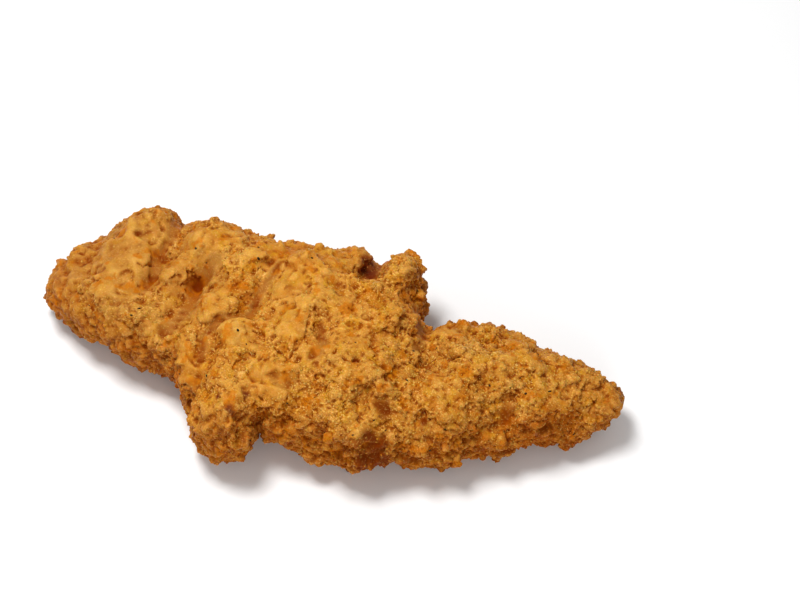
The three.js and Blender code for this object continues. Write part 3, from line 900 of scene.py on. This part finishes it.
def lay_crumbs(kind, surface, draws):
    """Crumbs sunk into the crust: their points, their faces, and which point of the crust each stands on."""
    crumbly = crumbly_share(surface.points, surface.normals)
    chosen = spread(surface.points, kind["spacing"], draws)
    faces_down = surface.normals[chosen, 2] < CRUMB_RESTS["facing"]
    resting = faces_down & (surface.points[chosen, 2] < CRUMB_RESTS["level"])
    chosen = chosen[~resting & (draws.random(len(chosen)) < kind["readiness"] * crumbly[chosen])]
    radius = between(*kind["radius"], draws.random(len(chosen)) ** CRUMB_RARITY)
    ball_points, ball_faces = ball(kind["divisions"])
    shapes = crumb_shapes(ball_points, radius, draws)
    middles = surface.points[chosen] - surface.normals[chosen] * (CRUMB_SINKS * radius)[:, None]
    points = set_on(middles, surface.normals[chosen], shapes, draws).reshape(-1, 3)
    return points, copied_faces(ball_faces, len(chosen), len(ball_points)), chosen


def make_small_crumbs(surface, masks, draws):
    """Small crumbs that lie on the crust, as one mesh. Sides and spots colour them as they do the crust,
    sides with their painted shade, and each crumb's top is painted paler as light.
    """
    points, faces, chosen = lay_crumbs(SMALL_CRUMBS, surface, draws)
    mesh = mesh_from("fine_crumbs", kept_in_box(points), faces)
    height = np.tile(ball(SMALL_CRUMBS["divisions"])[0][:, 2], len(chosen))
    each = len(points) // len(chosen)
    own_masks = {name: np.zeros(len(points)) for name in masks}
    own_masks["tint"] = np.repeat(draws.random(len(chosen)), each)
    own_masks["crumbly"] = np.ones(len(points))
    # painted light: each crumb's top paler
    own_masks["peak_light"] = smooth_step(height, *CRUMB_TOP)
    for name in ("browned_shaded_side", "browned_shaded_foot", "stain", "orange"):
        own_masks[name] = np.repeat(masks[name][chosen], each)
    write_masks(mesh, own_masks)
    return mesh


def make_pepper(surface, draws):
    """Thin dark flecks that lie on the crust, as one mesh."""
    up = np.flatnonzero(surface.normals[:, 2] > PEPPER_FACING)
    strewn = draws.choice(up, PEPPER_COUNT, replace=False)
    plan = surface.points[up, :2]
    placed = [up[np.argmin(np.linalg.norm(plan - place, axis=1))] for place in PEPPER_PLACES]
    chosen = np.concatenate([placed, strewn])
    large = np.full(len(placed), PEPPER_SIZE[1])
    size = np.concatenate([large, draws.uniform(*PEPPER_SIZE, PEPPER_COUNT)])
    ball_points, ball_faces = ball(1)
    stretch = np.array(PEPPER_SHAPE) * draws.uniform(*PEPPER_STRETCH, (len(chosen), 3)) * size[:, None]
    shapes = ball_points * stretch[:, None]
    points = set_on(surface.points[chosen], surface.normals[chosen], shapes, draws).reshape(-1, 3)
    faces = copied_faces(ball_faces, len(chosen), len(ball_points))
    return mesh_from("pepper", kept_in_box(points), faces)


# ---- Materials ----

NOISE_DETAIL = 3.0
NOISE_ROUGHNESS = 0.55
MIX_SHARE, MIX_COLOURS, MIX_RESULT = 0, (6, 7), 2  # the sockets of a node that mixes colours


class Nodes:
    """Short ways to add a material's nodes."""

    def __init__(self, name):
        self.material = bpy.data.materials.new(name)
        self.material.use_nodes = True
        self.tree = self.material.node_tree
        self.shader = self.tree.nodes["Principled BSDF"]

    def add(self, kind, **settings):
        node = self.tree.nodes.new(kind)
        for name, value in settings.items():
            setattr(node, name, value)
        return node

    def link(self, output, socket):
        self.tree.links.new(output, socket)

    def set(self, name, value):
        """One of the shader's own values, the same all over."""
        self.shader.inputs[name].default_value = value

    def mask(self, name):
        return self.add("ShaderNodeAttribute", attribute_name=name).outputs["Fac"]

    def noise(self, spacing, detail=NOISE_DETAIL, roughness=NOISE_ROUGHNESS):
        """Noise from 0 to 1 with lumps about `spacing` millimetres apart."""
        place = self.add("ShaderNodeTexCoord").outputs["Object"]
        noise = self.add("ShaderNodeTexNoise")
        noise.inputs["Scale"].default_value = 1 / (spacing * MM)
        noise.inputs["Detail"].default_value = detail
        noise.inputs["Roughness"].default_value = roughness
        self.link(place, noise.inputs["Vector"])
        return noise.outputs["Fac"]

    def cells(self, spacing):
        """How far each point lies from the nearest grain's middle, for grains `spacing` millimetres apart."""
        place = self.add("ShaderNodeTexCoord").outputs["Object"]
        cells = self.add("ShaderNodeTexVoronoi")
        cells.inputs["Scale"].default_value = 1 / (spacing * MM)
        self.link(place, cells.inputs["Vector"])
        return cells.outputs["Distance"]

    def patches(self, name):
        """1 in one kind of the patches of noise."""
        kind = PATCHES[name]
        return self.ranged(self.noise(kind["spacing"], kind["detail"]), *kind["levels"])

    def ranged(self, value, low, high, to_low=0.0, to_high=1.0):
        node = self.add("ShaderNodeMapRange")
        limits = {"From Min": low, "From Max": high, "To Min": to_low, "To Max": to_high}
        for name, limit in limits.items():
            node.inputs[name].default_value = limit
        self.link(value, node.inputs["Value"])
        return node.outputs["Result"]

    def kept(self, share, mask):
        """1 where a mask is 0, and a share where it is 1."""
        return self.ranged(mask, 0.0, 1.0, 1.0, share)

    def combined(self, operation, a, b):
        node = self.add("ShaderNodeMath", operation=operation)
        for value, socket in zip((a, b), node.inputs):
            if isinstance(value, (int, float)):
                socket.default_value = value
            else:
                self.link(value, socket)
        return node.outputs[0]

    def times(self, first, *others):
        for other in others:
            first = self.combined("MULTIPLY", first, other)
        return first

    def mixed(self, share, first, second):
        """Two colours mixed by a share. A colour is an output or three numbers."""
        node = self.add("ShaderNodeMix", data_type="RGBA")
        self.link(share, node.inputs[MIX_SHARE])
        for colour, socket in zip((first, second), MIX_COLOURS):
            if isinstance(colour, tuple):
                node.inputs[socket].default_value = (*colour, 1)
            else:
                self.link(colour, node.inputs[socket])
        return node.outputs[MIX_RESULT]


def grain_share(nodes):
    """How grainy the crust is: least where it is smooth, and in pits and amber spots."""
    bare = nodes.combined("MAXIMUM", nodes.times(nodes.mask("pit"), PIT_BARENESS), nodes.mask("amber"))
    crumbly = nodes.ranged(nodes.mask("crumbly"), 0.0, 1.0, GRAIN_ON_SMOOTH, 1.0)
    return nodes.times(crumbly, nodes.kept(GRAIN_ON_BARE, bare))


def coat_places(nodes, grainy, off_sides):
    """Where each of the coats lies, by name."""
    # the browned sides, with painted shade
    browned_shaded_side = nodes.mask("browned_shaded_side")
    amber = nodes.combined("MAXIMUM", nodes.patches("amber"), nodes.mask("amber"))
    browned_and_shaded = nodes.ranged(nodes.patches("browned_and_shaded"), 0.0, 1.0, LEAST_SIDE_BROWN_AND_SHADE, 1.0)
    places = {name: nodes.patches(name) for name in ("pale", "yellow", "olive")}
    masks = ("groove", "steep_shade", "hollow_shade", "pit", "orange", "browned_shaded_foot", "crease_shade", "stain")
    places.update({name: nodes.mask(name) for name in masks})
    places["browned_and_shaded"] = nodes.times(browned_shaded_side, browned_and_shaded)
    places["burnt"] = nodes.times(browned_shaded_side, nodes.patches("burnt"))
    # painted light on tops, less of it on the sides
    places["peak_light"] = nodes.times(nodes.mask("peak_light"), off_sides)
    places["amber"] = amber
    places["dark_grains"] = nodes.times(nodes.patches("dark_grains"), grainy)
    # painted highlights: pale glint specks, fewer on the sides and amber spots
    places["painted_glint_grains"] = nodes.times(
        nodes.patches("painted_glint_grains"), grainy, off_sides, nodes.kept(PALE_ON_AMBER, amber)
    )
    return places


def add_gloss(nodes, grainy, off_sides):
    """A dull crust with glints of oil on its grains, and light that sinks in a little."""
    dry = nodes.ranged(nodes.mask("crease_shade"), *GLINT_CREASE, 1.0, 0.0)
    glints = nodes.times(nodes.patches("glints"), dry, off_sides, grainy)
    nodes.link(nodes.ranged(glints, 0.0, 1.0, *ROUGHNESS), nodes.shader.inputs["Roughness"])
    nodes.link(nodes.ranged(glints, 0.0, 1.0, *SPECULAR), nodes.shader.inputs["Specular IOR Level"])
    nodes.set("Specular Tint", SPECULAR_TINT)
    nodes.set("Subsurface Weight", SUBSURFACE_WEIGHT)
    nodes.set("Subsurface Radius", SUBSURFACE_RADIUS)
    nodes.set("Subsurface Scale", SUBSURFACE_SCALE * MM)


def add_grain(nodes, grainy):
    """The finest grain, as bumps."""
    bump = nodes.add("ShaderNodeBump")
    bump.inputs["Distance"].default_value = GRAIN["depth"] * MM
    nodes.link(nodes.times(grainy, GRAIN["strength"]), bump.inputs["Strength"])
    noise = nodes.noise(GRAIN["spacing"], GRAIN["detail"], GRAIN["roughness"])
    height = nodes.combined("SUBTRACT", noise, nodes.cells(GRAIN["cells"]))
    nodes.link(height, bump.inputs["Height"])
    nodes.link(bump.outputs["Normal"], nodes.shader.inputs["Normal"])


def crust_material():
    nodes = Nodes("fried_crust")
    grainy = grain_share(nodes)
    # less painted light and fewer glints on the browned and shaded sides
    off_sides = nodes.kept(PALE_ON_SIDES, nodes.mask("browned_shaded_side"))
    places = coat_places(nodes, grainy, off_sides)
    colour = nodes.mixed(nodes.ranged(nodes.mask("tint"), *TINT_LEVELS), ORANGE, GOLD)
    for name, amount, coat in COATS:
        colour = nodes.mixed(nodes.times(places[name], amount), colour, coat)
    nodes.link(colour, nodes.shader.inputs["Base Color"])
    add_gloss(nodes, grainy, off_sides)
    add_grain(nodes, grainy)
    return nodes.material


def pepper_material():
    nodes = Nodes("ground_pepper")
    share = nodes.ranged(nodes.noise(PEPPER_PATCHES["spacing"]), *PEPPER_PATCHES["levels"])
    nodes.link(nodes.mixed(share, *PEPPER_COLOURS), nodes.shader.inputs["Base Color"])
    nodes.set("Roughness", PEPPER_ROUGHNESS)
    nodes.set("Specular IOR Level", PEPPER_SPECULAR)
    return nodes.material


def floor_material():
    nodes = Nodes("white_floor")
    colour = nodes.mixed(nodes.noise(FLOOR_PATCHES), *FLOOR_COLOURS)
    nodes.link(colour, nodes.shader.inputs["Base Color"])
    nodes.set("Roughness", FLOOR_ROUGHNESS)
    return nodes.material


# ---- Floor, light and camera ----

def make_floor():
    signs = ((-1, -1), (1, -1), (1, 1), (-1, 1))
    corners = [(FLOOR_HALF * x, FLOOR_HALF * y, -FLOOR_GAP) for x, y in signs]
    floor = add_object("floor", mesh_from("floor", corners, [(0, 1, 2, 3)]))
    floor.data.materials.append(floor_material())


def make_light(name, place, size, power):
    light = bpy.data.lights.new(name, "AREA")
    light.size = size * MM
    light.energy = power
    lamp = add_object(name, light)
    lamp.location = Vector(place) * MM
    lamp.rotation_euler = (-lamp.location).to_track_quat("-Z", "Y").to_euler()


def make_studio():
    world = bpy.data.worlds.new("studio")
    world.use_nodes = True
    background = world.node_tree.nodes["Background"]
    background.inputs["Color"].default_value = (1, 1, 1, 1)
    background.inputs["Strength"].default_value = WORLD_STRENGTH
    bpy.context.scene.world = world
    for light in LIGHTS:
        make_light(**light)
    bpy.context.scene.view_settings.view_transform = "Standard"
    bpy.context.scene.view_settings.look = "Medium High Contrast"


def make_camera():
    azimuth, elevation = math.radians(AZIMUTH), math.radians(ELEVATION)
    level = math.cos(elevation)
    back = Vector((math.sin(azimuth) * level, -math.cos(azimuth) * level, math.sin(elevation)))
    right = Vector((math.cos(azimuth), math.sin(azimuth), 0))
    data = bpy.data.cameras.new("camera")
    data.lens, data.sensor_width = LENS, SENSOR
    data.clip_start, data.clip_end = (distance * MM for distance in CLIPPING)
    camera = add_object("camera", data)
    camera.location = (Vector(AIM) + back * CAMERA_DISTANCE) * MM
    camera.rotation_euler = Matrix((right, back.cross(right), back)).transposed().to_euler()
    bpy.context.scene.camera = camera


# ---- The scene ----

def add_piece(mesh, material):
    mesh.materials.clear()
    mesh.materials.append(material)
    piece = add_object(mesh.name, mesh)
    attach(piece, "root")
    return piece


def main():
    draws = np.random.default_rng(SEED)
    mesh, surface, masks = make_crust(draws)
    material = crust_material()
    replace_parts(add_piece(mesh, material), NODE)
    add_piece(make_small_crumbs(surface, masks, draws), material)
    add_piece(make_pepper(surface, draws), pepper_material())
    make_floor()
    make_studio()
    make_camera()


main()
